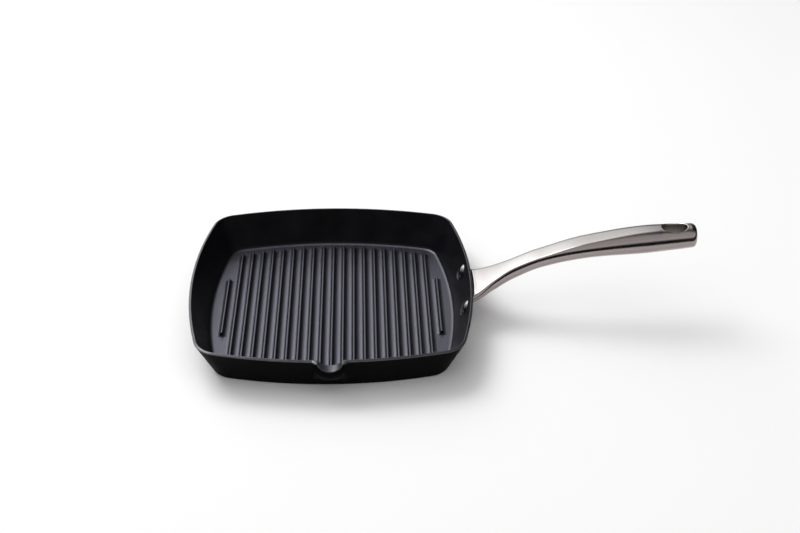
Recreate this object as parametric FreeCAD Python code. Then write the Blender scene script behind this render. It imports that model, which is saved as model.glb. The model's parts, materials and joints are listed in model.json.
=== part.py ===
import FreeCAD, Part
import math
import os

from FreeCAD import Vector

# A square cast grill pan with bowed sides, a pouring spout and a riveted stainless steel handle.
# Lengths are in millimetres. The origin is the middle of the base, on the surface that the pan
# stands on. The handle points along +X, the spout along -Y and the rim faces +Z.

# Pan body
rim_width = 261.0  # outside, across the middle of two sides, before the edge is rounded
base_width = 228.0
rim_height = 37.0
rim_bow_radius = 412.0  # the sides bow outward on long arcs
base_bow_radius = 385.0
rim_corner_radius = 25.0
base_corner_radius = 21.0
wall = 2.8  # measured level
floor_thickness = 4.0
floor_fillet = 4.0
base_round = 3.0
rim_flat = 0.6  # level strip that is left between the rim's two rounded edges

# Ribs of the cooking surface, which run along Y
rib_pitch = 10.0
rib_height = 4.0
rib_top_width = 1.7
rib_stem_width = 2.2  # where the upright sides end and the hollow feet begin
rib_foot_radius = 2.8  # the feet curve out into the floor
rib_top_round = 0.5
rib_end_margin = 9.0  # from the end of the middle rib to the foot of the wall
rib_end_bow_radius = 300.0  # the rib ends line up on an arc like the wall's
rib_side_margin = 10.0  # least room between the outermost rib and the foot of the wall
side_rib_length = 91.0  # the outermost rib of each side is short

# Spout
spout_radius = 10.5
spout_axis_rise = 2.5  # the channel's axis lies above the rim, so it is less than a half round
spout_lip = 3.4
spout_reach = 3.4  # past the rim
spout_lip_round = 1.2
spout_root_depth = 6.2  # the bulge grows from this far inside the wall's outer face
spout_root_radius = 8.0
lip_steps = 4  # sections in the rounded edge of the lip

# Rivets
rivet_spacing = 60.0
rivet_drop = 11.8  # below the rim, on the inside of the wall
rivet_head_width = 15.2
rivet_head_height = 2.6
rivet_shank_width = 6.0
rivet_tail_width = 9.0
rivet_tail_height = 1.8
rivet_clearance = 0.15  # around the shank
rivet_seat_clearance = 0.1  # under the head and the tail

# Handle flange
handle_shift = -4.0  # the handle stands this far along Y from the middle of the wall
flange_end_margin = 12.0  # past the middle of each rivet
flange_height = 14.0
flange_thickness = 2.6  # measured level
flange_drop = 1.4  # from the rivets down to the flange's middle, on its outer face
flange_clearance = 0.2  # to the wall

# Handle sections, from the wall to the end. Each is an oval with a flat top: the run from the
# section before, the rise of the oval's middle above the rim, its width, its depth below the
# middle, and the shoulder that is left of its half width beside the flat
root_bite = 2.0  # the bar starts this far inside the flange's outer face, at its lower edge
root_rise = -8.8
root_spread = 4.0  # wider than the rivets' spacing
root_depth = 8.2
root_shoulder = 3.0
flare_run = 12.3
flare_rise = -4.9
flare_room = 3.3  # beside the rivets' tails
flare_depth = 9.3
flare_shoulder = 3.5
neck_run = 14.0
neck_rise = 2.7
neck_width = 29.4
neck_depth = 11.1
neck_shoulder = 1.9
throat_run = 18.0
throat_rise = 12.6
throat_width = 21.2
throat_depth = 10.1
throat_shoulder = 1.9
waist_run = 22.0
waist_rise = 23.1
waist_width = 20.9
waist_depth = 9.7
waist_shoulder = 1.6
palm_run = 44.0
palm_rise = 35.1
palm_width = 26.0
palm_depth = 10.1
palm_shoulder = 4.8
belly_run = 52.0
belly_rise = 42.0
belly_width = 30.0
belly_depth = 12.1
belly_shoulder = 8.8
heel_run = 41.2
heel_rise = 45.6
heel_width = 25.8
heel_depth = 10.6
heel_shoulder = 9.6
heel_round = 5.0
bar_steps = 28  # sections along the bar, which crowd towards the flared root
bar_crowding = 1.6
end_steps = 5  # sections in the rounded end
oval_steps = 12  # points on the round side of a section

# Hanging hole
hole_length = 23.0
hole_width = 16.5
hole_end_margin = 8.7  # from the hole to the handle's end

# Room that a cutting body is carried past the face it cuts
cut_over = 5.0

# Edges closer to a level than this count as lying in it
level_tolerance = 0.0001


def size_at(height, base, rim):
    """Size of the leaning wall at a height, between its value at the base and at the rim."""
    return base + (rim - base) * height / rim_height


def wall_half_width(height):
    return size_at(height, base_width, rim_width) / 2


def wall_bow(height):
    return size_at(height, base_bow_radius, rim_bow_radius)


def wall_corner(height):
    return size_at(height, base_corner_radius, rim_corner_radius)


def bowed_square(height, inset):
    """Closed outline of the wall at a height: four long side arcs and four tangent corner arcs."""
    half = wall_half_width(height) - inset
    bow = wall_bow(height) - inset
    corner = wall_corner(height) - inset
    offset = bow - half
    middle = (math.sqrt(2 * (bow - corner) ** 2 - offset**2) - offset) / 2
    along = (middle + offset) * bow / (bow - corner) - offset
    across = middle * bow / (bow - corner)
    tip = middle + corner * math.sqrt(0.5)
    quarter_points = ((along, -across), (half, 0), (along, across), (tip, tip))
    points = []
    for turn in range(4):
        for x, y in quarter_points:
            for _ in range(turn):
                x, y = -y, x
            points.append(Vector(x, y, height))
    points.append(points[0])
    arcs = [Part.Arc(*points[i : i + 3]).toShape() for i in range(0, len(points) - 1, 2)]
    return Part.Wire(arcs)


def wall_block(bottom, top, inset):
    """Solid between two heights whose sides run parallel to the pan's wall."""
    return Part.makeLoft([bowed_square(bottom, inset), bowed_square(top, inset)], True, True)


def edges_at_height(shape, height):
    """Edges that lie level at one height."""
    level = []
    for edge in shape.Edges:
        box = edge.BoundBox
        if max(abs(box.ZMin - height), abs(box.ZMax - height)) < level_tolerance:
            level.append(edge)
    return level


wall_lean = math.atan((rim_width - base_width) / 2 / rim_height)


def rib(offset, length):
    """One rib with a softly rounded top and hollow feet, sunk into the floor."""
    top = floor_thickness + rib_height
    sunk = Vector(0, 0, -floor_thickness / 2)
    bend = rib_foot_radius * (1 - math.sqrt(0.5))
    edges = []
    ends = []
    for side in (-1, 1):
        stem = Vector(offset + side * rib_stem_width / 2, -length / 2, floor_thickness)
        foot = stem + Vector(side * rib_foot_radius, 0, 0)
        hollow = stem + Vector(side * bend, 0, bend)
        stem.z += rib_foot_radius
        crest = Vector(offset + side * rib_top_width / 2, -length / 2, top)
        edges.append(Part.makeLine(foot + sunk, foot))
        edges.append(Part.Arc(foot, hollow, stem).toShape())
        edges.append(Part.makeLine(stem, crest))
        ends.append((foot + sunk, crest))
    edges += [Part.makeLine(left, right) for left, right in zip(*ends)]
    profile = Part.Wire(Part.sortEdges(edges)[0])
    bar = Part.Face(profile).extrude(Vector(0, length, 0))
    return bar.makeFillet(rib_top_round, edges_at_height(bar, top))


def ribs():
    """Ribs across the floor: long ones under an arc of ends, and a short one at each side."""
    foot = wall_half_width(floor_thickness) - wall
    last = math.floor((foot - rib_side_margin) / rib_pitch)
    bars = []
    for place in range(-last, last + 1):
        offset = place * rib_pitch
        sag = rib_end_bow_radius - math.sqrt(rib_end_bow_radius**2 - offset**2)
        length = 2 * (foot - rib_end_margin - sag)
        if abs(place) == last:
            length = side_rib_length
        bars.append(rib(offset, length))
    return bars


def spout_bulge():
    """Half cone that swells out of the front wall and ends in the spout's round-edged lip."""
    lip_radius = spout_radius + spout_lip
    lip = Vector(0, -rim_width / 2 - spout_reach, rim_height + spout_axis_rise)
    root = Vector(0, spout_root_depth - wall_half_width(spout_root_radius), spout_root_radius)
    circles = []
    for step in range(lip_steps + 1):
        angle = math.radians(90) * step / lip_steps
        share = spout_lip_round * (1 - math.cos(angle)) / (root.y - lip.y)
        radius = lip_radius + (spout_root_radius - lip_radius) * share
        radius -= spout_lip_round * (1 - math.sin(angle))
        circles.append(Part.makeCircle(radius, lip + (root - lip) * share, Vector(0, 1, 0)))
    circles.append(Part.makeCircle(spout_root_radius, root, Vector(0, 1, 0)))
    cone = Part.makeLoft([Part.Wire(circle) for circle in circles], True, True)
    above = Part.makeBox(rim_width, rim_width, rim_height, Vector(-rim_width / 2, -rim_width, rim_height))
    return cone.cut(above)


def spout_channel():
    """Round channel that runs out over the lip from inside the wall."""
    outside = rim_width / 2 + spout_reach + cut_over
    inside = wall_half_width(rim_height - spout_radius) - wall - cut_over
    start = Vector(0, -outside, rim_height + spout_axis_rise)
    return Part.makeCylinder(spout_radius, outside - inside, start, Vector(0, 1, 0))


class RivetSeat:
    """Axis of one rivet, square to the wall, with its distances from the wall's outer face."""

    def __init__(self, side):
        along = handle_shift + side * rivet_spacing / 2
        inner_height = rim_height - rivet_drop
        thickness = wall * math.cos(wall_lean)
        height = inner_height - thickness * math.sin(wall_lean)
        bow = wall_bow(height)
        yaw = math.asin(along / bow)
        reach = wall_half_width(height) - bow + bow * math.cos(yaw)
        level = math.cos(wall_lean)
        self.axis = Vector(level * math.cos(yaw), level * math.sin(yaw), -math.sin(wall_lean))
        self.place = Vector(reach, along, height)
        self.inner = -thickness
        self.outer = (flange_clearance + flange_thickness) * level

    def set_on(self, shape):
        shape.Placement = FreeCAD.Placement(self.place, FreeCAD.Rotation(Vector(0, 0, 1), self.axis))
        return shape

    def hole(self):
        length = self.outer - self.inner + 2 * cut_over
        radius = rivet_shank_width / 2 + rivet_clearance
        return self.set_on(Part.makeCylinder(radius, length, Vector(0, 0, self.inner - cut_over)))

    def tail_room(self):
        """Space outside the wall where only the flange may stand, so that the tail has room."""
        radius = rivet_tail_width / 2 + rivet_clearance
        return self.set_on(Part.makeCylinder(radius, self.outer + flare_run))

    def rivet(self):
        """Domed head inside the pan, shank through wall and flange, low dome outside."""
        under_head = self.inner - rivet_seat_clearance
        under_tail = self.outer + rivet_seat_clearance
        head = dome(rivet_head_width, rivet_head_height, Vector(0, 0, -1))
        head.translate(Vector(0, 0, under_head))
        tail = dome(rivet_tail_width, rivet_tail_height, Vector(0, 0, 1))
        tail.translate(Vector(0, 0, under_tail))
        shank = Part.makeCylinder(rivet_shank_width / 2, under_tail - under_head, Vector(0, 0, under_head))
        return self.set_on(shank.fuse([head, tail]).removeSplitter())


def dome(width, height, up):
    """Cap of a sphere that stands on a flat disc at the origin."""
    radius = (width**2 / 4 + height**2) / (2 * height)
    ball = Part.makeSphere(radius, up * (height - radius))
    slab = Part.makeCylinder(width, height + cut_over, Vector(0, 0, 0), up)
    return ball.common(slab)


def root_place():
    """Distance along X at which the handle's bar starts, inside the flange."""
    lower_edge = rim_height + root_rise - root_depth
    return wall_half_width(lower_edge) + flange_clearance + flange_thickness - root_bite


def handle_section(run, rise, width, depth, shoulder):
    """Upright oval with a flat top across the handle, at a run from its root."""
    middle = Vector(root_place() + run, handle_shift, rim_height + rise)
    flat_angle = math.acos(1 - 2 * shoulder / width)
    sweep = math.radians(180) + 2 * flat_angle
    points = []
    for step in range(oval_steps + 1):
        angle = flat_angle - sweep * step / oval_steps
        points.append(middle + Vector(0, width / 2 * math.cos(angle), depth * math.sin(angle)))
    oval = Part.BSplineCurve()
    oval.interpolate(Points=points, Parameters=list(range(oval_steps + 1)))
    return Part.Wire([oval.toShape(), Part.makeLine(points[-1], points[0])])


def eased(place, places, sizes):
    """Smooth curve through sizes given at places, which never swings past them in between."""
    slopes = []
    for start in range(len(places) - 1):
        slopes.append((sizes[start + 1] - sizes[start]) / (places[start + 1] - places[start]))
    tangents = [slopes[0]]
    for before, after in zip(slopes, slopes[1:]):
        tangents.append(2 * before * after / (before + after) if before * after > 0 else 0)
    tangents.append(slopes[-1])
    start = sum(place >= other for other in places[1:-1])
    span = places[start + 1] - places[start]
    t = (place - places[start]) / span
    back = 1 - t
    ends = sizes[start] * back**2 * (1 + 2 * t) + sizes[start + 1] * t**2 * (1 + 2 * back)
    return ends + span * t * back * (tangents[start] * back - tangents[start + 1] * t)


def handle_stations():
    """Run from the root, rise, width, depth and shoulder of each named section."""
    root_width = rivet_spacing + root_spread
    flare_width = rivet_spacing - rivet_tail_width - 2 * flare_room
    sections = [
        (0, root_rise, root_width, root_depth, root_shoulder),
        (flare_run, flare_rise, flare_width, flare_depth, flare_shoulder),
        (neck_run, neck_rise, neck_width, neck_depth, neck_shoulder),
        (throat_run, throat_rise, throat_width, throat_depth, throat_shoulder),
        (waist_run, waist_rise, waist_width, waist_depth, waist_shoulder),
        (palm_run, palm_rise, palm_width, palm_depth, palm_shoulder),
        (belly_run, belly_rise, belly_width, belly_depth, belly_shoulder),
        (heel_run, heel_rise, heel_width, heel_depth, heel_shoulder),
    ]
    stations = []
    reached = 0
    for run, *sizes in sections:
        reached += run
        stations.append((reached, *sizes))
    return stations


def handle_bar():
    """Bar from the flange to the end of the grip, lofted through sections that follow its sizes."""
    places, *profiles = zip(*handle_stations())
    sections = []
    for step in range(bar_steps + 1):
        place = places[-1] * (step / bar_steps) ** bar_crowding
        sections.append(handle_section(place, *(eased(place, places, sizes) for sizes in profiles)))
    return Part.makeLoft(sections, True, False)


def handle_end():
    """Rounded end of the grip: its sections shrink along a quarter circle."""
    heel, rise, *sizes = handle_stations()[-1]
    slope = (heel_rise - belly_rise) / heel_run
    sections = []
    for step in range(end_steps + 1):
        angle = math.radians(90) * step / end_steps
        on = heel_round * math.sin(angle)
        share = 1 - heel_round * (1 - math.cos(angle)) / (heel_width / 2)
        sections.append(handle_section(heel + on, rise + slope * on, *(share * size for size in sizes)))
    return Part.makeLoft(sections, True, False)


def flange(seat):
    """Plate that lies along the outside of the wall under the rivets' tails, with round ends."""
    radius = flange_height / 2
    middle = seat.place.z + seat.axis.z * seat.outer - flange_drop
    reach = rivet_spacing / 2 + flange_end_margin - radius
    right = Vector(0, handle_shift + reach, middle)
    left = Vector(0, handle_shift - reach, middle)
    rise = Vector(0, 0, radius)
    out = Vector(0, radius, 0)
    edges = [
        Part.makeLine(left + rise, right + rise),
        Part.Arc(right + rise, right + out, right - rise).toShape(),
        Part.makeLine(right - rise, left - rise),
        Part.Arc(left - rise, left - out, left + rise).toShape(),
    ]
    outline = Part.Face(Part.Wire(edges)).extrude(Vector(rim_width, 0, 0))
    skin = wall_block(0, rim_height, -flange_clearance - flange_thickness)
    return outline.common(skin)


def hanging_hole():
    """Oval hole down through the handle near its end."""
    heel = root_place() + handle_stations()[-1][0]
    middle = heel + heel_round - hole_end_margin - hole_length / 2
    oval = Part.Ellipse(Vector(0, 0, 0), hole_length / 2, hole_width / 2).toShape()
    depth = 2 * (rim_height + heel_rise)
    post = Part.Face(Part.Wire(oval)).extrude(Vector(0, 0, depth))
    post.translate(Vector(middle, handle_shift, 0))
    return post


def pan_body(seats):
    bowl = wall_block(0, rim_height, 0)
    bowl = bowl.makeFillet(base_round, edges_at_height(bowl, 0))
    cavity = wall_block(floor_thickness, rim_height + cut_over, wall)
    cavity = cavity.makeFillet(floor_fillet, edges_at_height(cavity, floor_thickness))
    plain = bowl.cut(cavity)
    rim_round = (wall - rim_flat) * math.cos(wall_lean) / 2
    plain = plain.makeFillet(rim_round, edges_at_height(plain, rim_height))
    bulge = spout_bulge().cut(cavity)
    body = plain.fuse(bulge).cut(spout_channel())
    body = body.fuse(ribs())
    return body.cut([seat.hole() for seat in seats])


def handle(seats):
    bar = handle_bar().cut([seat.tail_room() for seat in seats])
    bar = bar.fuse([handle_end(), flange(seats[0])])
    bar = bar.cut(wall_block(0, rim_height, -flange_clearance))
    return bar.cut([seat.hole() for seat in seats] + [hanging_hole()]).removeSplitter()


front_seat = RivetSeat(-1)
rear_seat = RivetSeat(1)
nodes = {
    "pan_body": pan_body([front_seat, rear_seat]),
    "handle": handle([front_seat, rear_seat]),
    "front_rivet": front_seat.rivet(),
    "rear_rivet": rear_seat.rivet(),
}

os.makedirs("parts", exist_ok=True)
for name, shape in nodes.items():
    shape.exportStep(f"parts/{name}.step")
    box = shape.optimalBoundingBox()
    print(name, "solids", len(shape.Solids), "valid", shape.isValid(), "volume mm3", round(shape.Volume))
    print("  from", round(box.XMin, 2), round(box.YMin, 2), round(box.ZMin, 2))
    print("  to  ", round(box.XMax, 2), round(box.YMax, 2), round(box.ZMax, 2))
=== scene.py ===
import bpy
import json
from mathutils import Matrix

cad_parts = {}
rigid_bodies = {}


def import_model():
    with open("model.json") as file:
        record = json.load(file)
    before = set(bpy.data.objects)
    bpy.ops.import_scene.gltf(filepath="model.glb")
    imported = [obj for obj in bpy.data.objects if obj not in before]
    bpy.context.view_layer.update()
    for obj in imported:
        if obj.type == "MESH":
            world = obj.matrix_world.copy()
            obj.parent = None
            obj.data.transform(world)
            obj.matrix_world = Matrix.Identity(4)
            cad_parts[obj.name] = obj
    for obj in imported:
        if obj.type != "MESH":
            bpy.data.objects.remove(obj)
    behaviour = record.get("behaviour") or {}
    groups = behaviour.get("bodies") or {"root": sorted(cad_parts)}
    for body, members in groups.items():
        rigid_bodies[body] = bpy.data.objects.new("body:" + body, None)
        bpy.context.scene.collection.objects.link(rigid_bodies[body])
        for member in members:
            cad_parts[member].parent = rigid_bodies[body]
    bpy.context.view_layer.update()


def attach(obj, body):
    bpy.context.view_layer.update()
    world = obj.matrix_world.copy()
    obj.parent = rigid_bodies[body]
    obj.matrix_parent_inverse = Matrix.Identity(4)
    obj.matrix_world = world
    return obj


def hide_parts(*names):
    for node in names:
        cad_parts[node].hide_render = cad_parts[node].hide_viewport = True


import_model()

import json
import math

import bpy
import numpy as np
from mathutils import Matrix, Vector, geometry

mm = 0.001
quarterTurn = math.pi / 2


def hexToLinear(code):
    shares = [int(code[i:i + 2], 16) / 255 for i in (1, 3, 5)]
    return tuple(s / 12.92 if s <= 0.04045 else ((s + 0.055) / 1.055) ** 2.4 for s in shares) + (1.0,)


def addNode(tree, kind, settings=None, links=None):
    # settings go to sockets by name or number, or else to the node itself; links feed its sockets
    node = tree.nodes.new(kind)
    for key, value in (settings or {}).items():
        if isinstance(key, int) or key in node.inputs:
            node.inputs[key].default_value = value
        else:
            setattr(node, key, value)
    for key, source in (links or {}).items():
        tree.links.new(source, node.inputs[key])
    return node


def newMaterial(name):
    material = bpy.data.materials.new(name)
    material.use_nodes = True
    material.node_tree.nodes.clear()
    return material, material.node_tree


def setStops(node, stops):
    # colour ramp stops as (place, sRGB hex)
    ramp = node.color_ramp
    while len(ramp.elements) < len(stops):
        ramp.elements.new(0.5)
    for element, (place, code) in zip(ramp.elements, stops):
        element.position = place
        element.color = hexToLinear(code)


def smooth(t):
    t = np.clip(t, 0.0, 1.0)
    return t * t * (3 - 2 * t)


def mix(a, b, t):
    return a + (b - a) * t


def buildPiece(name, points, faces, materials, slots=None):
    # points in millimetres; slots gives each face's place in the list of materials
    mesh = bpy.data.meshes.new(name)
    mesh.from_pydata([tuple(p) for p in np.asarray(points, float) * mm], [], faces)
    for material in materials:
        mesh.materials.append(material)
    if slots is not None:
        mesh.polygons.foreach_set("material_index", slots)
    mesh.polygons.foreach_set("use_smooth", [True] * len(mesh.polygons))
    mesh.update()
    piece = bpy.data.objects.new(name, mesh)
    bpy.context.scene.collection.objects.link(piece)
    return piece


def evenNormals(piece, crease):
    # edges sharper than the crease angle stay crisp; elsewhere flats stay flat beside small roundings
    piece.data.set_sharp_from_angle(angle=math.radians(crease))
    weighted = piece.modifiers.new("evenNormals", "WEIGHTED_NORMAL")
    weighted.mode, weighted.weight, weighted.keep_sharp = "FACE_AREA", 50, True


def stitch(faces, one, two):
    # quads between two closed loops of equal length
    for j in range(len(one)):
        after = (j + 1) % len(one)
        faces.append((one[j], one[after], two[after], two[j]))


# sizes of grain and blotches and heights of the rubbed crests in mm; the grain is drawn coarser than casting
# sand leaves it, which would be too fine to show
ironFloor = dict(  # well oiled: a broad soft sheen with a cool cast
    name="seasoned_cast_iron_floor", deep="#09080b", oiled="#110f14", rough=(0.37, 0.47),
    specular=1.0, ior=1.7, tint="#dadaf0", grain=1.3, grainDepth=0.24, blotch=16.0, crest=(7.2, 7.9),
)
ironWall = dict(  # thin oil: dark, with little sheen
    name="seasoned_cast_iron_wall", deep="#0d0d0f", oiled="#151518", rough=(0.30, 0.42),
    specular=0.18, ior=1.5, tint="#ececf4", grain=1.1, grainDepth=0.05, blotch=22.0, crest=(36.0, 37.0),
)
ironOutside = dict(  # casting skin as it left the sand: matt, with little sheen; its near-black colour, darker than the inside, is painted shade on the outer wall
    name="matt_cast_iron_outside_painted_shade", deep="#030303", oiled="#060607", rough=(0.50, 0.62),
    specular=0.03, ior=1.5, tint="#f4f4f6", grain=0.9, grainDepth=0.05, blotch=26.0, crest=(35.6, 37.0),
)
ironRim = dict(  # ground back and oiled: a thin grey line
    name="ground_cast_iron_rim", deep="#2c2c30", oiled="#38383d", rough=(0.28, 0.38),
    specular=1.0, ior=1.5, tint="#ececf4", grain=0.9, grainDepth=0.04, blotch=18.0, crest=(36.0, 37.0),
)
ironSkin = dict(toneSpread=(0.32, 0.68), roughSpread=(0.3, 0.7), rubbed=0.06, grainShow=0.7)  # for all four


def seasonedIron(look):
    # sand-cast iron under baked-on oil: near black, semi-matt, a fine pebbled grain that breaks up the gloss
    material, tree = newMaterial(look["name"])
    place = addNode(tree, "ShaderNodeTexCoord").outputs["Object"]
    grain = addNode(tree, "ShaderNodeTexNoise",
                    {"Scale": 1 / (look["grain"] * mm), "Detail": 3.0, "Roughness": 0.6}, {"Vector": place})
    blotch = addNode(tree, "ShaderNodeTexNoise",
                     {"Scale": 1 / (look["blotch"] * mm), "Detail": 4.0}, {"Vector": place})
    tone = addNode(tree, "ShaderNodeValToRGB", links={"Fac": blotch.outputs["Fac"]})
    setStops(tone, list(zip(ironSkin["toneSpread"], (look["deep"], look["oiled"]))))
    height = addNode(tree, "ShaderNodeSeparateXYZ", links={"Vector": place})
    # crests and rims are rubbed a little smoother than the hollows
    below, above = look["crest"]
    rubbed = addNode(tree, "ShaderNodeMapRange",
                     {"From Min": below * mm, "From Max": above * mm,
                      "To Min": 0.0, "To Max": ironSkin["rubbed"]},
                     {"Value": height.outputs["Z"]})
    (thin, thick), (smoothest, roughest) = ironSkin["roughSpread"], look["rough"]
    rough = addNode(tree, "ShaderNodeMapRange",
                    {"From Min": thin, "From Max": thick, "To Min": smoothest, "To Max": roughest},
                    {"Value": blotch.outputs["Fac"]})
    worn = addNode(tree, "ShaderNodeMath", {"operation": "SUBTRACT"},
                   {0: rough.outputs["Result"], 1: rubbed.outputs["Result"]})
    pebbles = addNode(tree, "ShaderNodeBump",
                      {"Strength": ironSkin["grainShow"], "Distance": look["grainDepth"] * mm},
                      {"Height": grain.outputs["Fac"]})
    shader = addNode(tree, "ShaderNodeBsdfPrincipled",
                     {"IOR": look["ior"], "Specular IOR Level": look["specular"],
                      "Specular Tint": hexToLinear(look["tint"])},
                     {"Base Color": tone.outputs["Color"], "Roughness": worn.outputs["Value"],
                      "Normal": pebbles.outputs["Normal"]})
    addNode(tree, "ShaderNodeOutputMaterial", links={"Surface": shader.outputs["BSDF"]})
    return material


# brush is the size of the scratches in mm along x, y and z, drawn coarser than real ones so that they show
steelBrushed = dict(  # satin from a belt: soft streaks along the grip
    name="brushed_stainless_steel", bright="#cac7c5", shade="#b6b2b0", rough=(0.15, 0.24),
    brush=(9.0, 0.22, 0.22), brushDepth=0.005,
    # the second pair of colours is a darker copy of the steel, painted shade on the grip's sides and
    # underside; the two ranges pick the faces that look up, which keep the lit tones
    sides=("#948b89", "#a69d9b"), litTopTilt=(0.20, 0.10), litTopLift=(0.15, 0.45),
)
steelBore = dict(  # drilled and left so: duller, and coloured darker as painted shade inside the hole
    name="drilled_stainless_steel_painted_shade", bright="#8d8580", shade="#6f6763", rough=(0.30, 0.42),
    brush=(0.5, 0.5, 14.0), brushDepth=0.02,
)
steelPolished = dict(  # buffed: clear reflections, a little wavy
    name="polished_stainless_steel", bright="#d2d0ce", shade="#c2bfbd", rough=(0.06, 0.12),
    brush=(1.6, 1.6, 1.6), brushDepth=0.004,
)
# for all three; haze is the size of cloudy patches in mm
steelSkin = dict(
    lineSpread=(0.3, 0.7), haze=30.0, lineShare=0.6, evenShare=0.2, roughSpread=(0.15, 0.38), lineShow=0.5,
)


def stainlessSteel(look):
    # stainless steel: neutral metal with fine lines left by the belt, which pull highlights into streaks
    material, tree = newMaterial(look["name"])
    place = addNode(tree, "ShaderNodeTexCoord").outputs["Object"]
    stretched = addNode(tree, "ShaderNodeMapping", {"Scale": [1 / (size * mm) for size in look["brush"]]},
                        {"Vector": place})
    lines = addNode(tree, "ShaderNodeTexNoise", {"Scale": 1.0, "Detail": 3.0, "Roughness": 0.65},
                    {"Vector": stretched.outputs["Vector"]})
    haze = addNode(tree, "ShaderNodeTexNoise",
                   {"Scale": 1 / (steelSkin["haze"] * mm), "Detail": 2.0}, {"Vector": place})
    tone = addNode(tree, "ShaderNodeValToRGB", links={"Fac": lines.outputs["Fac"]})
    setStops(tone, list(zip(steelSkin["lineSpread"], (look["shade"], look["bright"]))))
    colour = tone.outputs["Color"]
    if "sides" in look:
        # painted shade: faces that look up keep the lit tones; the sides and the underside get a darker copy
        # of the steel
        facing = addNode(tree, "ShaderNodeNewGeometry").outputs["Normal"]
        facing = addNode(tree, "ShaderNodeSeparateXYZ", links={"Vector": facing})
        aside = addNode(tree, "ShaderNodeMath", {"operation": "ABSOLUTE"}, {0: facing.outputs["Y"]})
        steep, flat = look["litTopTilt"]
        level = addNode(tree, "ShaderNodeMapRange", {"From Min": steep, "From Max": flat},
                        {"Value": aside.outputs["Value"]})
        low, high = look["litTopLift"]
        lifted = addNode(tree, "ShaderNodeMapRange", {"From Min": low, "From Max": high},
                         {"Value": facing.outputs["Z"]})
        litTopMask = addNode(tree, "ShaderNodeMath", {"operation": "MULTIPLY"},
                       {0: level.outputs["Result"], 1: lifted.outputs["Result"]})
        shadedTone = addNode(tree, "ShaderNodeValToRGB", links={"Fac": lines.outputs["Fac"]})
        setStops(shadedTone, list(zip(steelSkin["lineSpread"], look["sides"])))
        colour = addNode(tree, "ShaderNodeMix", {"data_type": "RGBA"},
                         {0: litTopMask.outputs["Value"], 6: shadedTone.outputs["Color"], 7: colour}).outputs[2]
    both = addNode(tree, "ShaderNodeMath",
                   {"operation": "MULTIPLY_ADD", 1: steelSkin["lineShare"], 2: steelSkin["evenShare"]},
                   {0: lines.outputs["Fac"]})
    uneven = addNode(tree, "ShaderNodeMath", {"operation": "MULTIPLY"},
                     {0: both.outputs["Value"], 1: haze.outputs["Fac"]})
    (fine, coarse), (smoothest, roughest) = steelSkin["roughSpread"], look["rough"]
    rough = addNode(tree, "ShaderNodeMapRange",
                    {"From Min": fine, "From Max": coarse, "To Min": smoothest, "To Max": roughest},
                    {"Value": uneven.outputs["Value"]})
    scratches = addNode(tree, "ShaderNodeBump",
                        {"Strength": steelSkin["lineShow"], "Distance": look["brushDepth"] * mm},
                        {"Height": lines.outputs["Fac"]})
    shader = addNode(tree, "ShaderNodeBsdfPrincipled", {"Metallic": 1.0},
                     {"Base Color": colour, "Roughness": rough.outputs["Result"],
                      "Normal": scratches.outputs["Normal"]})
    addNode(tree, "ShaderNodeOutputMaterial", links={"Surface": shader.outputs["BSDF"]})
    return material


castFloor, castWall, castOutside, castRim = map(seasonedIron, (ironFloor, ironWall, ironOutside, ironRim))
satinSteel, boreSteel, brightSteel = map(stainlessSteel, (steelBrushed, steelBore, steelPolished))
print("materials ready")

pan = dict(  # mm
    baseHalf=114.0, rimHalf=130.5, rimHeight=37.0, baseBow=385.0, rimBow=412.0, baseCorner=21.0,
    rimCorner=25.0, wall=2.8, floorLevel=4.0, floorFillet=4.0, baseRound=3.0, rimEdge=0.5,
    sideSteps=30, cornerSteps=14, wallRows=12, roundSteps=5, baseSteps=6, filletSteps=7, crease=50,
    baseRings=(0.25, 0.5, 0.75, 0.93), rimRings=(0.25, 0.5, 0.75),  # shares of the way
    rimGuard=0.8, outerGap=2.0, innerGap=2.2, floorGuard=0.6,  # rows close beside the roundings
)
spout = dict(
    span=18.0, radius=10.5, centre=39.5, shoulder=0.8, lip=133.9, lipDepth=3.4, innerDepth=0.6,
    sweep=(10.8, 16.0), fadeAcross=1.5, fadeOut=1.15, steps=88,
)
ribs = dict(
    pitch=10.0, count=10, height=4.0, topHalf=0.85, stemHalf=1.1, foot=(3.7, 2.8), topRound=0.5,
    middleHalf=104.0, endBow=300.0, sideHalf=45.5, endDraft=0.5, corner=0.4, cornerShare=0.7, cornerPoints=4,
    footRows=10, crestRows=5, crestStart=0.2, steepRows=(5, 10),  # steep rows keep the matt casting skin
)
lean = math.atan((pan["rimHalf"] - pan["baseHalf"]) / pan["rimHeight"])


def atHeight(base, rim, height):
    return base + (rim - base) * height / pan["rimHeight"]


def wallReach(height):
    return atHeight(pan["baseHalf"], pan["rimHalf"], height)


def bowOf(reach, height):
    # bow radius, corner radius and the bow's centre for the outline that stands this far out at this height
    inset = wallReach(height) - reach
    bow = atHeight(pan["baseBow"], pan["rimBow"], height) - inset
    corner = atHeight(pan["baseCorner"], pan["rimCorner"], height) - inset
    return bow, corner, bow - reach


def sideReach(reach, height, along):
    # how far out the bowed side stands at a place along it
    bow, _, offset = bowOf(reach, height)
    return np.sqrt(bow ** 2 - along ** 2) - offset


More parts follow.
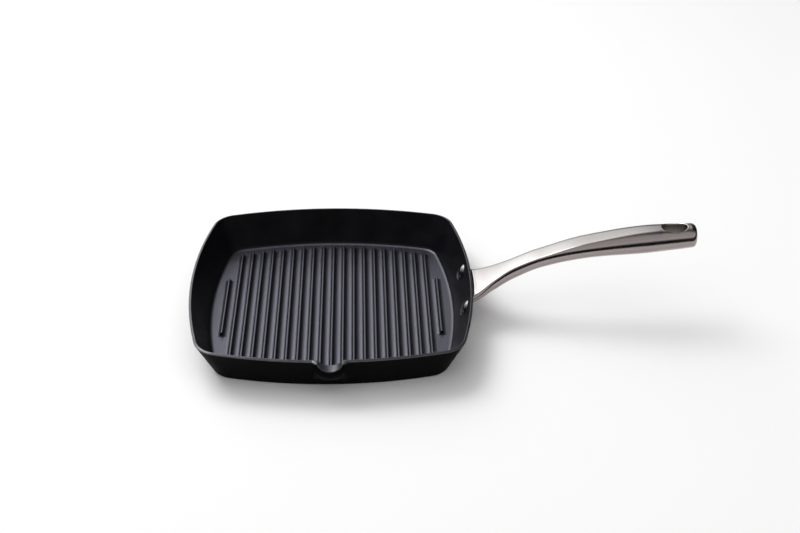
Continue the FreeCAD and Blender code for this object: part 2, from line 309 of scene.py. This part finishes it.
def outline(reach, height):
    # one ring round the pan, anticlockwise from the handle's side; the front has more points for the spout
    bow, corner, offset = bowOf(reach, height)
    middle = (math.sqrt(2 * (bow - corner) ** 2 - offset ** 2) - offset) / 2
    swing = math.atan2(middle, middle + offset)
    points = []
    for turn in range(4):
        if turn == 3:
            edge = math.asin(spout["span"] / bow)
            steps = pan["sideSteps"] // 2
            left = np.linspace(-swing, -edge, steps, endpoint=False)
            right = np.linspace(edge, swing, steps + 1)[1:]
            middleAngles = np.arcsin(np.linspace(-1, 1, spout["steps"] + 1) * spout["span"] / bow)
            angles = np.concatenate([left, middleAngles, right])
        else:
            angles = np.linspace(-swing, swing, pan["sideSteps"] + 1)
        side = np.column_stack([bow * np.cos(angles) - offset, bow * np.sin(angles)])
        bend = np.linspace(swing, quarterTurn - swing, pan["cornerSteps"] + 1)[1:-1]
        bent = np.column_stack([middle + corner * np.cos(bend), middle + corner * np.sin(bend)])
        local = np.concatenate([side, bent])
        c, s = round(math.cos(turn * quarterTurn)), round(math.sin(turn * quarterTurn))
        points.append(local @ np.array([[c, s], [-s, c]]))
    flat = np.concatenate(points)
    return np.column_stack([flat, np.full(len(flat), height)])


frontStart = 3 * (pan["sideSteps"] + pan["cornerSteps"]) + pan["sideSteps"] // 2
spoutColumns = np.arange(frontStart, frontStart + spout["steps"] + 1)


def notchPath():
    # the rim's line across the spout: bottom of the channel, up its side and over a rounded shoulder
    r, rho, top = spout["radius"], spout["shoulder"], pan["rimHeight"]
    drop = spout["centre"] - (top - rho)
    across = math.sqrt((r + rho) ** 2 - drop ** 2)
    turn = math.atan2(across, drop)
    lengths = [r * turn, rho * turn, spout["span"] - across]
    total = sum(lengths)
    rows = []
    for u in np.linspace(-1, 1, spout["steps"] + 1):
        s, sign = abs(u) * total, math.copysign(1.0, u)
        if s < lengths[0]:
            a = s / r
            x, z, nx, nz = r * math.sin(a), spout["centre"] - r * math.cos(a), -math.sin(a), math.cos(a)
        elif s < lengths[0] + lengths[1]:
            a = turn - (s - lengths[0]) / rho
            nx, nz = -math.sin(a), math.cos(a)
            x, z = across + rho * nx, top - rho + rho * nz
        else:
            x, z, nx, nz = across + s - lengths[0] - lengths[1], top, 0.0, 1.0
        rows.append((sign * x, z, sign * nx, nz))
    px, pz, nx, nz = np.array(rows).T
    near, far = spout["sweep"]
    return px, pz, nx, nz, 1 - smooth((np.abs(px) - near) / (far - near))


def shapeSpout(ring, reach, height, side):
    # bends the front middle of one ring into the pouring spout; lip is how far the rim is swept out
    px, pz, nx, nz, lip = notchPath()
    x0 = ring[spoutColumns, 0]
    if side == "outside":
        foot, near, crown = pan["baseRound"], spout["lipDepth"], rimOut[1]
    else:
        foot, near = pan["floorLevel"] + pan["floorFillet"], spout["innerDepth"]
        crown = height if side == "top" else pan["rimHeight"]
    if height <= foot:
        return
    sunk = lip * (pan["rimHeight"] - crown)
    depth = pan["rimHeight"] - height - sunk
    close = np.minimum(depth, near)
    t = np.maximum(0.0, depth - near) / (pan["rimHeight"] - foot - sunk - near)
    x = mix(px - nx * close, x0, smooth(t * spout["fadeAcross"]))
    z = mix(pz - nz * close, foot, t)
    inset = wallReach(height) - reach
    y = sideReach(wallReach(z) - inset, z, x)
    if side == "outside":
        y = mix(y, spout["lip"] - inset, lip * (1 - smooth(t * spout["fadeOut"])))
    elif side == "top":
        outer, inner = (wallReach(edge[1]) - edge[0] for edge in (rimOut, rimIn))
        far = mix(sideReach(wallReach(z) - outer, z, x), spout["lip"] - outer, lip)
        y = mix(far, sideReach(wallReach(z) - inner, z, x), (inset - outer) / (inner - outer))
    ring[spoutColumns] = np.column_stack([x, -y, z])


def arc(centre, radius, start, end, steps):
    angles = np.radians(np.linspace(start, end, steps + 1))
    return [(centre[0] + radius * math.cos(a), centre[1] + radius * math.sin(a)) for a in angles]


# section of the wall at the middle of a side, from under the base, up the outside, over the rim and down to
# the floor; the rim is cut square to the leaning wall and its two edges are softened
leanDeg = math.degrees(lean)
outward, upward = np.array([math.cos(lean), -math.sin(lean)]), np.array([math.sin(lean), math.cos(lean)])
narrow = math.tan(math.radians(45 - leanDeg / 2))
soft = pan["rimEdge"]
innerEdge = np.array([pan["rimHalf"] - pan["wall"], pan["rimHeight"]])
outerEdge = innerEdge + outward * pan["wall"] * math.cos(lean)
rimOut, rimIn = outerEdge - outward * soft, innerEdge + outward * soft
baseCentre = (pan["baseHalf"] - pan["baseRound"] * narrow, pan["baseRound"])
baseArc = arc(baseCentre, pan["baseRound"], -90, -leanDeg, pan["baseSteps"])
outerArc = arc(rimOut - upward * soft, soft, -leanDeg, 90 - leanDeg, pan["roundSteps"])
innerArc = arc(rimIn - upward * soft, soft, 90 - leanDeg, 180 - leanDeg, pan["roundSteps"])
rimRows = [tuple(mix(rimOut, rimIn, t)) for t in pan["rimRings"]]
footReach = wallReach(pan["floorLevel"]) - pan["wall"] - pan["floorFillet"] * narrow
filletCentre = (footReach, pan["floorLevel"] + pan["floorFillet"])
filletArc = arc(filletCentre, pan["floorFillet"], -leanDeg, -90, pan["filletSteps"])
outerTop, innerTop = outerArc[0][1], innerArc[-1][1]
outerLevels = list(np.linspace(baseArc[-1][1], outerTop - pan["outerGap"], pan["wallRows"])[1:])
outerLevels.append(outerTop - pan["rimGuard"])
innerLevels = [innerTop - pan["rimGuard"]]
innerLevels += list(np.linspace(innerTop - pan["innerGap"], filletArc[0][1], pan["wallRows"])[:-1])
outerRows = [(wallReach(h), h) for h in outerLevels]
innerRows = [(wallReach(h) - pan["wall"], h) for h in innerLevels]
floorEdge = (footReach - pan["floorGuard"], pan["floorLevel"])
section = [(p, "outside", castOutside) for p in baseArc + outerRows + outerArc[:1]]
section += [(p, "outside", castRim) for p in outerArc[1:]]
section += [(p, "top", castRim) for p in rimRows]
section += [(p, "inside", castRim) for p in innerArc]
mattRows = len(filletArc) // 2  # the upper half of the fillet is as matt as the wall
section += [(p, "inside", castWall) for p in innerRows + filletArc[:mattRows]]
section += [(p, "inside", castFloor) for p in filletArc[mattRows:] + [floorEdge]]


def ribRing(halfWidth, halfLength, x, z):
    # rounded rectangle, anticlockwise
    corner = min(ribs["corner"], ribs["cornerShare"] * halfWidth)
    points = []
    for turn, (sx, sy) in enumerate(((1, 1), (-1, 1), (-1, -1), (1, -1))):
        for a in np.linspace(0, quarterTurn, ribs["cornerPoints"]) + turn * quarterTurn:
            points.append((x + sx * (halfWidth - corner) + corner * math.cos(a),
                           sy * (halfLength - corner) + corner * math.sin(a), z))
    return points


def buildPan():
    rings, materials = [], [castFloor, castWall, castOutside, castRim]
    under = outline(*baseArc[0])
    for scale in pan["baseRings"]:
        rings.append(under * (scale, scale, 1))
    owners = [materials.index(castOutside)] * len(rings)
    for (reach, height), side, material in section:
        ring = outline(reach, height)
        shapeSpout(ring, reach, height, side)
        rings.append(ring)
        owners.append(materials.index(material))
    count = len(under)
    points = [(0.0, 0.0, 0.0)] + [p for ring in rings for p in ring]
    loops = [list(range(1 + k * count, 1 + (k + 1) * count)) for k in range(len(rings))]
    faces = [(0, loops[0][(j + 1) % count], loops[0][j]) for j in range(count)]
    slots = [owners[0]] * count
    for k in range(len(loops) - 1):
        stitch(faces, loops[k], loops[k + 1])
        slots += [owners[k + 1]] * count

    # ribs with hollow feet, upright stems and a softened crest
    level, top = pan["floorLevel"], pan["floorLevel"] + ribs["height"]
    (wide, high), r = ribs["foot"], ribs["topRound"]
    turns = np.linspace(0, quarterTurn, ribs["footRows"])
    steps = [(ribs["stemHalf"] + wide * (1 - math.sin(a)), level + high * (1 - math.cos(a))) for a in turns]
    turns = np.linspace(ribs["crestStart"], quarterTurn, ribs["crestRows"])
    steps += [(ribs["topHalf"] - r * (1 - math.cos(a)), top - r + r * math.sin(a)) for a in turns]
    edgesOfFloor = [loops[-1]]
    for place in range(-ribs["count"], ribs["count"] + 1):
        x = place * ribs["pitch"]
        length = ribs["middleHalf"] - (ribs["endBow"] - math.sqrt(ribs["endBow"] ** 2 - x ** 2))
        if abs(place) == ribs["count"]:
            length = ribs["sideHalf"]
        ribLoops = []
        for half, z in steps:
            ring = ribRing(half, length + ribs["endDraft"] * ((top - z) / ribs["height"]) ** 2, x, z)
            ribLoops.append(list(range(len(points), len(points) + len(ring))))
            points += ring
        for row, (one, two) in enumerate(zip(ribLoops, ribLoops[1:])):
            stitch(faces, one, two)
            steep = row in range(*ribs["steepRows"])
            slots += [materials.index(castWall if steep else castFloor)] * len(one)
        faces.append(tuple(ribLoops[-1]))
        slots.append(materials.index(castFloor))
        edgesOfFloor.append(ribLoops[0])

    # flat floor between the fillet and the feet of the ribs
    ids = [i for loop in edgesOfFloor for i in loop]
    ownerOf = [n for n, loop in enumerate(edgesOfFloor) for _ in loop]
    edges, begin = [], 0
    for loop in edgesOfFloor:
        edges += [(begin + i, begin + (i + 1) % len(loop)) for i in range(len(loop))]
        begin += len(loop)
    flat = [Vector((points[i][0], points[i][1])) for i in ids]
    _, _, triangles, origins, _, _ = geometry.delaunay_2d_cdt(flat, edges, [], 1, 1e-6)
    for triangle in triangles:
        corners = [origins[i][0] for i in triangle]
        touched = {ownerOf[c] for c in corners}
        if len(touched) == 1 and 0 not in touched:
            continue  # under a rib
        face = [ids[c] for c in corners]
        a, b, c = (np.array(points[i][:2]) for i in face)
        faces.append(tuple(face if np.cross(b - a, c - a) > 0 else face[::-1]))
    slots += [materials.index(castFloor)] * (len(faces) - len(slots))
    piece = buildPiece("cast_pan", points, faces, materials, slots)
    evenNormals(piece, pan["crease"])
    return piece


castPan = buildPan()
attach(castPan, "root")
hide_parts("pan_body")
print("pan body:", len(castPan.data.polygons), "faces")

handle = dict(
    shift=-4.0,
    # x, height of the oval's middle, half width, depth below the middle, shoulder beside the flat top
    stations=[
        (123.7, 28.2, 28.5, 8.2, 3.0),
        (136.0, 32.1, 22.2, 9.3, 3.5),
        (150.0, 39.7, 14.7, 11.1, 1.9),
        (168.0, 49.6, 10.6, 10.1, 1.9),
        (190.0, 60.1, 10.45, 9.7, 1.6),
        (234.0, 72.1, 13.0, 10.1, 4.8),
        (286.0, 79.0, 15.0, 12.1, 8.8),
        (327.2, 82.6, 12.9, 10.6, 9.6),
    ],
    edges=(2.6, 1.0), edgeLimit=(0.45, 0.4), crown=0.045,  # edges of the top, rear and front
    rootFillet=0.4, rootStep=0.03, endRound=(5.0, 2.2), endDome=0.6,
    flatSteps=4, edgeSteps=4, sideSteps=8, necked=150.0, neckRings=20, neckEase=1.2, gripRings=46,
    endTurns=(15, 30, 45, 60, 75, 90), domeRings=(0.85, 0.6, 0.3), crease=40,
    holeX=312.0, holeHalf=(11.5, 8.25), holeLip=0.7, lipTurns=(25, 50, 70, 90),
    boreRings=(0.2, 0.4, 0.6, 0.8),
    # the skin round the hanging hole
    patch=(297.5, 326.5), patchSteps=18, patchColumns=12, patchRings=(0.66, 0.33, 0.12, 0.0),
)
flange = dict(
    length=84.0, height=14.0, middle=21.7, clearance=0.2, thickness=2.6, edge=0.6, edgeShare=0.4, bite=1.2,
    endTurn=4, endSteps=12, middleSteps=27, faceSteps=6, edgeTurns=(30, 60, 90),
)


def eased(place, places, sizes):
    # smooth curve through the sizes that never swings past them
    slopes = np.diff(sizes) / np.diff(places)
    tangents = [slopes[0]]
    for before, after in zip(slopes, slopes[1:]):
        tangents.append(2 * before * after / (before + after) if before * after > 0 else 0)
    tangents.append(slopes[-1])
    i = int(np.clip(np.searchsorted(places, place, side="right") - 1, 0, len(places) - 2))
    span = places[i + 1] - places[i]
    t = (place - places[i]) / span
    back = 1 - t
    ends = sizes[i] * back ** 2 * (1 + 2 * t) + sizes[i + 1] * t ** 2 * (1 + 2 * back)
    return ends + span * t * back * (tangents[i] * back - tangents[i + 1] * t)


stationTable = np.array(handle["stations"]).T


def handleSizes(x):
    return [eased(x, stationTable[0], row) for row in stationTable[1:]]


def handleRing(x, middle, half, depth, shoulder):
    # oval with a slightly crowned flat top: from the middle of the top over its rear edge, down the rear and
    # round; the rear edge is softer than the front one
    flat = half - shoulder
    turn = math.acos(flat / half)
    top, crown = depth * math.sin(turn), handle["crown"] * flat
    sunk = (top - crown) / top

    def side(a):
        return np.array([half * math.cos(a), depth * math.sin(a) * (sunk if a > 0 else 1)])

    def over(y):
        return np.array([y, top - crown * (y / flat) ** 2])

    flatLimit, turnLimit = handle["edgeLimit"]
    around = math.hypot(half * math.sin(turn), depth * math.cos(turn))
    halves = []
    for edge in handle["edges"]:
        start = flat - min(edge, flatLimit * flat)
        back = turn - min(edge / around, turnLimit * turn)
        line = [over(y) for y in np.linspace(0, start, handle["flatSteps"], endpoint=False)]
        for t in np.linspace(0, 1, handle["edgeSteps"], endpoint=False):
            line.append(over(start) * (1 - t) ** 2 + over(flat) * 2 * t * (1 - t) + side(back) * t ** 2)
        line += [side(a) for a in np.linspace(back, 0, handle["sideSteps"], endpoint=False)]
        halves.append(line + [side(a) for a in np.linspace(0, -quarterTurn, len(line) + 1)])
    rear, front = halves
    ring = rear + [point * (-1, 1) for point in front[-2:0:-1]]
    return np.array([(x, handle["shift"] + y, middle + z) for y, z in ring])


def wallX(y, z, out):
    # the pan's outside on the handle's side, moved out
    bow, _, offset = bowOf(wallReach(z), z)
    return np.sqrt((bow + out) ** 2 - y ** 2) - offset


def skinHeight(x, y, up):
    # height of the handle's upper or lower skin
    ring = handleRing(x, *handleSizes(x))
    half = len(ring) // 2
    line = ring[:half // 2 + 1] if up > 0 else ring[half:half // 2 - 1:-1]
    return float(np.interp(abs(y - handle["shift"]), line[:, 1] - handle["shift"], line[:, 2]))


def seatRoot(ring, k):
    # a small fillet where the bar meets the flange, and the start follows the wall inside the flange
    middle, half, depth, _ = handleSizes(ring[0, 0])
    away = np.column_stack([(ring[:, 1] - handle["shift"]) / half ** 2, (ring[:, 2] - middle) / depth ** 2])
    away /= np.linalg.norm(away, axis=1)[:, None]
    face = wallX(ring[:, 1], ring[:, 2], flange["clearance"] + flange["thickness"])
    radius = handle["rootFillet"]
    inside = np.clip(radius - (ring[:, 0] - face), 0, radius)
    spread = radius - np.sqrt(radius ** 2 - inside ** 2)
    ring[:, 1:] += away * spread[:, None]
    held = wallX(ring[:, 1], ring[:, 2], flange["bite"]) + handle["rootStep"] * k
    ring[:, 0] = np.maximum(ring[:, 0], held)


def buildFlange():
    # plate that follows the wall under the rivets' tails, with round ends and softened outer edges
    radius, half = flange["height"] / 2, flange["length"] / 2
    straight = half - radius
    inner, outer, e = flange["clearance"], flange["clearance"] + flange["thickness"], flange["edge"]
    ends = np.radians(np.linspace(flange["endTurn"], 90, flange["endSteps"]))
    ys = [-straight - radius * math.cos(a) for a in ends]
    ys += list(np.linspace(-straight, straight, flange["middleSteps"])[1:-1]) + [-y for y in ys[::-1]]
    upright, turns = np.linspace(-1, 1, flange["faceSteps"]), np.radians(flange["edgeTurns"])
    points, faces, loops = [], [], []
    for y in ys:
        h = math.sqrt(radius ** 2 - max(0.0, abs(y) - straight) ** 2)
        b = min(e, flange["edgeShare"] * h)
        loop = [(outer, t * (h - b)) for t in upright]
        loop += [(outer - b * (1 - math.cos(a)), h - b + b * math.sin(a)) for a in turns]
        loop += [(inner, t * h) for t in upright[::-1]]
        loop += [(outer - b * (1 - math.cos(a)), -h + b - b * math.sin(a)) for a in turns[::-1]]
        loops.append(list(range(len(points), len(points) + len(loop))))
        for out, z in loop:
            height = flange["middle"] + z
            across = handle["shift"] + y
            points.append((wallX(across, height, out), across, height))
    for one, two in zip(loops, loops[1:]):
        stitch(faces, two, one)
    faces += [tuple(loops[0]), tuple(loops[-1][::-1])]
    return buildPiece("flange_plate", points, [face[::-1] for face in faces], [satinSteel])


def buildHandle():
    steels = [satinSteel, boreSteel, brightSteel]
    satin, bored, bright = range(len(steels))
    first, last = stationTable[0][0], stationTable[0][-1]
    start, end = handle["patch"]
    neck = handle["necked"]
    xs = list(first + (neck - first) * np.linspace(0, 1, handle["neckRings"]) ** handle["neckEase"])
    xs += list(np.linspace(neck, start, handle["gripRings"])[1:])
    holeRing = len(xs) - 1
    xs += list(np.linspace(start, end, handle["patchSteps"] + 1)[1:]) + [last]
    rings = [handleRing(x, *handleSizes(x)) for x in xs]
    for k, ring in enumerate(rings[:handle["neckRings"]]):
        seatRoot(ring, k)
    middle, half, depth, shoulder = handleSizes(last)
    wideRound, deepRound = handle["endRound"]
    for a in np.radians(handle["endTurns"]):
        on, bend = (wideRound - handle["endDome"]) * math.sin(a), 1 - math.cos(a)
        share = 1 - wideRound * bend / half
        rings.append(handleRing(last + on, middle, half * share, depth - deepRound * bend, shoulder * share))
    edge = rings[-1]
    heart = edge.mean(axis=0)
    for scale in handle["domeRings"]:
        inner = heart + (edge - heart) * scale
        inner[:, 0] = edge[0, 0] + handle["endDome"] * (1 - scale ** 2)
        rings.append(inner)
    size = len(rings[0])
    points = [p for ring in rings for p in ring] + [(edge[0, 0] + handle["endDome"], heart[1], heart[2])]
    faces = []
    wideSteps = handle["patchColumns"]
    topColumns = {j % size for j in range(-wideSteps, wideSteps)}
    underColumns = {(size // 2 + j) % size for j in range(-wideSteps, wideSteps)}
    for k in range(len(rings) - 1):
        for j in range(size):
            if holeRing <= k < holeRing + handle["patchSteps"] and (j in topColumns or j in underColumns):
                continue
            after = (j + 1) % size
            faces.append((k * size + j, (k + 1) * size + j, (k + 1) * size + after, k * size + after))
    tip = len(points) - 1
    for j in range(size):
        faces.append((tip - size + j, tip, tip - size + (j + 1) % size))
    faces.append(tuple(range(size)))
    slots = [satin] * len(faces)

    # hanging hole: loops from the patch's edge on the top, over the lip, down the bore and out underneath
    a, b = holeRing, holeRing + handle["patchSteps"]
    rear, front = wideSteps, -wideSteps

    def edgeLoop(up):
        loop = [(b, j) for j in range(front, rear)] + [(k, rear) for k in range(b, a, -1)]
        loop += [(a, j) for j in range(rear, front, -1)] + [(k, front) for k in range(a, b)]
        return [k * size + (j if up > 0 else size // 2 - j) % size for k, j in loop]

    upper, lower = edgeLoop(1), edgeLoop(-1)
    middleX = (start + end) / 2
    wide = abs(points[upper[0]][1] - handle["shift"])
    turns = []
    for x, y, _ in (points[i] for i in upper):
        turns.append(math.atan2((y - handle["shift"]) / wide, (x - middleX) / (end - middleX)))
    lip = handle["holeLip"]

    def oval(grow):
        return [(handle["holeX"] + (handle["holeHalf"][0] + grow) * math.cos(t),
                 handle["shift"] + (handle["holeHalf"][1] + grow) * math.sin(t)) for t in turns]

    def layLoop(places, heights):
        points.extend((x, y, z) for (x, y), z in zip(places, heights))
        return list(range(len(points) - len(places), len(points)))

    chain = [upper]
    materialOf = []
    for up, ringIds in ((1, upper), (-1, lower)):
        loops = []
        rim = oval(lip)
        for share in handle["patchRings"]:
            spots = [(mix(x, points[i][0], share), mix(y, points[i][1], share))
                     for (x, y), i in zip(rim, ringIds)]
            loops.append(layLoop(spots, [skinHeight(x, y, up) for x, y in spots]))
        for turn in np.radians(handle["lipTurns"]):
            spots = oval(lip * (1 - math.sin(turn)))
            drop = lip * (1 - math.cos(turn))
            loops.append(layLoop(spots, [skinHeight(*rimSpot, up) - up * drop for rimSpot in rim]))
        if up > 0:
            chain += loops
            materialOf += [satin] * len(handle["patchRings"]) + [bright] * len(handle["lipTurns"])
            bore, top = oval(0.0), [points[i][2] for i in loops[-1]]
        else:
            bottom = [points[i][2] for i in loops[-1]]
            for share in handle["boreRings"]:
                chain.append(layLoop(bore, [mix(t, u, share) for t, u in zip(top, bottom)]))
            chain += loops[::-1] + [lower]
            materialOf += [bored] * (len(handle["boreRings"]) + 1) + [satin] * len(loops)
    for one, two, slot in zip(chain, chain[1:], materialOf):
        stitch(faces, one, two)
        slots += [slot] * len(one)
    return buildPiece("steel_handle", points, faces, steels, slots)


def joinPieces(piece, other):
    # one closed skin from two overlapping ones
    union = piece.modifiers.new("join", "BOOLEAN")
    union.operation, union.solver, union.object = "UNION", "EXACT", other
    bpy.context.view_layer.objects.active = piece
    bpy.ops.object.modifier_apply(modifier=union.name)
    bpy.data.objects.remove(other)


steelHandle = buildHandle()
joinPieces(steelHandle, buildFlange())
evenNormals(steelHandle, handle["crease"])
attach(steelHandle, "root")
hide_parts("handle")
print("handle:", len(steelHandle.data.polygons), "faces")

rivet = dict(
    spacing=60.0, drop=11.8, headWidth=15.2, headHeight=2.6, headEdge=0.35, shank=6.0,
    tailWidth=9.0, tailHeight=1.8, seat=0.1, soft=0.12, steps=48, domeSteps=10, crease=50,
)


def domeLine(width, height, edge, base, up):
    # half section of a low dome with a short upright edge, from the rim to the crown
    half = width / 2
    radius = (half ** 2 + (height - edge) ** 2) / (2 * (height - edge))
    swing = math.asin(half / radius)
    line = [(half - rivet["soft"], base), (half, base + up * rivet["soft"]), (half, base + up * edge)]
    for a in np.linspace(swing, 0, rivet["domeSteps"] + 1)[1:]:
        line.append((radius * math.sin(a), base + up * (height - radius * (1 - math.cos(a)))))
    return line


def buildRivet(name, side):
    level = math.cos(lean)
    along = handle["shift"] + side * rivet["spacing"] / 2
    thickness = pan["wall"] * level
    height = pan["rimHeight"] - rivet["drop"] - thickness * math.sin(lean)
    bow, _, offset = bowOf(wallReach(height), height)
    yaw = math.asin(along / bow)
    place = Vector((bow * math.cos(yaw) - offset, along, height))
    axis = Vector((level * math.cos(yaw), level * math.sin(yaw), -math.sin(lean)))
    turn = Vector((0, 0, 1)).rotation_difference(axis).to_matrix()
    underHead = -thickness - rivet["seat"]
    underTail = (flange["clearance"] + flange["thickness"]) * level + rivet["seat"]
    head = domeLine(rivet["headWidth"], rivet["headHeight"], rivet["headEdge"], underHead, -1)
    tail = domeLine(rivet["tailWidth"], rivet["tailHeight"], rivet["headEdge"], underTail, 1)
    shank = [(rivet["shank"] / 2, underHead), (rivet["shank"] / 2, underTail)]
    line = head[::-1] + shank + tail
    points = [turn @ Vector((0, 0, line[0][1])) + place]
    loops = []
    for r, z in line[1:-1]:
        loops.append(list(range(len(points), len(points) + rivet["steps"])))
        for a in np.linspace(0, 2 * math.pi, rivet["steps"], endpoint=False):
            points.append(turn @ Vector((r * math.cos(a), r * math.sin(a), z)) + place)
    points.append(turn @ Vector((0, 0, line[-1][1])) + place)
    faces = []
    for one, two in zip(loops, loops[1:]):
        stitch(faces, one, two)
    for j in range(rivet["steps"]):
        after = (j + 1) % rivet["steps"]
        faces.append((0, loops[0][after], loops[0][j]))
        faces.append((loops[-1][j], loops[-1][after], len(points) - 1))
    piece = buildPiece(name, points, faces, [brightSteel])
    evenNormals(piece, rivet["crease"])
    return piece


for name, node, side in (("front_rivet_steel", "front_rivet", -1), ("rear_rivet_steel", "rear_rivet", 1)):
    piece = buildRivet(name, side)
    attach(piece, "root")
    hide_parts(node)
print("rivets ready")

studio = dict(  # metres, but floorDrop in mm
    floorX=(-1.4, 1.4), floorY=(-0.37, 1.3), floorDrop=0.02, floorColour="#fafafa", floorGlow=0.04,
    boxTurn=46.0, boxRise=54.0, boxDistance=1.9, boxSize=1.0, boxPower=13.0,  # left of straight behind
    topHeight=1.9, topSize=2.6, topPower=8.0,  # overhead, through a wide cloth that leaves no reflection
    roomStrength=2.45, roomTurn=(-0.25, 0.15),
    # grey of the room by elevation in degrees, behind the pan and on the camera's side, then the back's share
    # from left to right
    behind=[(-3, "#282828"), (1, "#969696"), (10, "#a8a8a8"), (18, "#cccccc"), (25, "#e8e8e8"),
            (36, "#ececec"), (50, "#ffffff"), (62, "#ffffff"), (72, "#8c8c8c"), (82, "#484848")],
    before=[(10, "#050505"), (23, "#1a1a1a"), (32, "#9a9a9a"), (44, "#9a9a9a"), (54, "#8e8e8e")],
    across=[(-0.92, "#202020"), (-0.74, "#909090"), (-0.56, "#ffffff"), (-0.34, "#f8f8f8"),
            (-0.16, "#c4c4c4"), (-0.03, "#b8b8b8"), (0.09, "#a8a8a8"), (0.18, "#7e7e7e"),
            (0.28, "#2e2e2e"), (0.40, "#161616")],
)
camera = dict(  # mm and degrees, but clip in metres; the nudge is half a pixel of a picture 800 wide
    lens=58.909, sensor=36.0, target=(66.06, 75.13, 0.0), distance=1296.73,
    azimuth=-2.10, elevation=32.54, roll=0.70, nudge=0.5 / 800, clip=(0.05, 20.0),
)


def buildFloor():
    (left, right), (near, far) = (np.array(studio[k]) / mm for k in ("floorX", "floorY"))
    points = [(left, near, 0), (right, near, 0), (right, far, 0), (left, far, 0)]
    material, tree = newMaterial("matt_white_paper")  # studio paper: plain white that keeps a soft shadow
    paper = addNode(tree, "ShaderNodeBsdfDiffuse", {"Color": hexToLinear(studio["floorColour"])})
    ray = addNode(tree, "ShaderNodeLightPath").outputs
    seen = ray["Is Camera Ray"]
    for kind in ("Is Glossy Ray", "Is Transmission Ray"):
        seen = addNode(tree, "ShaderNodeMath", {"operation": "MAXIMUM"}, {0: seen, 1: ray[kind]}).outputs[0]
    glow = addNode(tree, "ShaderNodeMath", {"operation": "MULTIPLY", 1: studio["floorGlow"]}, {0: seen})
    white = addNode(tree, "ShaderNodeEmission", {"Color": (1, 1, 1, 1)}, {"Strength": glow.outputs[0]})
    both = addNode(tree, "ShaderNodeAddShader",
                   links={0: paper.outputs["BSDF"], 1: white.outputs["Emission"]})
    addNode(tree, "ShaderNodeOutputMaterial", links={"Surface": both.outputs["Shader"]})
    floor = buildPiece("paper_floor", points, [(0, 1, 2, 3)], [material])
    floor.location.z = -studio["floorDrop"] * mm


def lightStudio():
    turn, rise = math.radians(studio["boxTurn"]), math.radians(studio["boxRise"])
    way = Vector((-math.sin(turn) * math.cos(rise), math.cos(turn) * math.cos(rise), math.sin(rise)))
    for name, place in (("box", way * studio["boxDistance"]), ("top", Vector((0, 0, studio["topHeight"])))):
        lamp = bpy.data.lights.new(name + "_light", "AREA")
        lamp.shape, lamp.size, lamp.energy = "SQUARE", studio[name + "Size"], studio[name + "Power"]
        light = bpy.data.objects.new(name + "_light", lamp)
        light.location = place
        light.rotation_euler = place.to_track_quat("Z", "Y").to_euler()
        light.visible_glossy = name == "box"
        bpy.context.scene.collection.objects.link(light)

    # a white studio: bright behind, dim overhead, dark under the table's edge and towards the right
    world = bpy.data.worlds.new("white_studio")
    bpy.context.scene.world = world
    world.use_nodes = True
    tree = world.node_tree
    tree.nodes.clear()
    way = addNode(tree, "ShaderNodeTexCoord").outputs["Generated"]
    parts = addNode(tree, "ShaderNodeSeparateXYZ", links={"Vector": way})
    ramps = {}
    for key, axis in (("behind", "Z"), ("before", "Z"), ("across", "X")):
        share = addNode(tree, "ShaderNodeMapRange", {"From Min": -1.0, "From Max": 1.0},
                        {"Value": parts.outputs[axis]})
        ramps[key] = addNode(tree, "ShaderNodeValToRGB", links={"Fac": share.outputs["Result"]})
        stops = studio[key]
        if axis == "Z":
            stops = [(math.sin(math.radians(rise)), code) for rise, code in stops]
        setStops(ramps[key], [(0.5 + place / 2, code) for place, code in stops])
    near, far = studio["roomTurn"]
    turned = addNode(tree, "ShaderNodeMapRange",
                     {"From Min": near, "From Max": far, "interpolation_type": "SMOOTHSTEP"},
                     {"Value": parts.outputs["Y"]})
    back = addNode(tree, "ShaderNodeMix", {"data_type": "RGBA", "blend_type": "MULTIPLY", 0: 1.0},
                   {6: ramps["behind"].outputs["Color"], 7: ramps["across"].outputs["Color"]})
    room = addNode(tree, "ShaderNodeMix", {"data_type": "RGBA"},
                   {0: turned.outputs["Result"], 6: ramps["before"].outputs["Color"], 7: back.outputs[2]})
    glow = addNode(tree, "ShaderNodeBackground", {"Strength": studio["roomStrength"]},
                   {"Color": room.outputs[2]})
    addNode(tree, "ShaderNodeOutputWorld", links={"Surface": glow.outputs["Background"]})


def placeCamera():
    a, e, roll = (math.radians(camera[k]) for k in ("azimuth", "elevation", "roll"))
    back = Vector((math.sin(a) * math.cos(e), -math.cos(a) * math.cos(e), math.sin(e)))
    right = Vector((math.cos(a), math.sin(a), 0))
    up = back.cross(right)
    right, up = right * math.cos(roll) + up * math.sin(roll), up * math.cos(roll) - right * math.sin(roll)
    data = bpy.data.cameras.new("photo_camera")
    data.lens, data.sensor_width, data.sensor_fit = camera["lens"], camera["sensor"], "HORIZONTAL"
    data.shift_x, data.shift_y = -camera["nudge"], camera["nudge"]
    data.clip_start, data.clip_end = camera["clip"]
    eye = bpy.data.objects.new("photo_camera", data)
    matrix = Matrix((right, up, back)).transposed().to_4x4()
    matrix.translation = (Vector(camera["target"]) + back * camera["distance"]) * mm
    eye.matrix_world = matrix
    bpy.context.scene.collection.objects.link(eye)
    bpy.context.scene.camera = eye


buildFloor()
lightStudio()
placeCamera()
bpy.context.scene.view_settings.view_transform = "Standard"
print("studio ready")
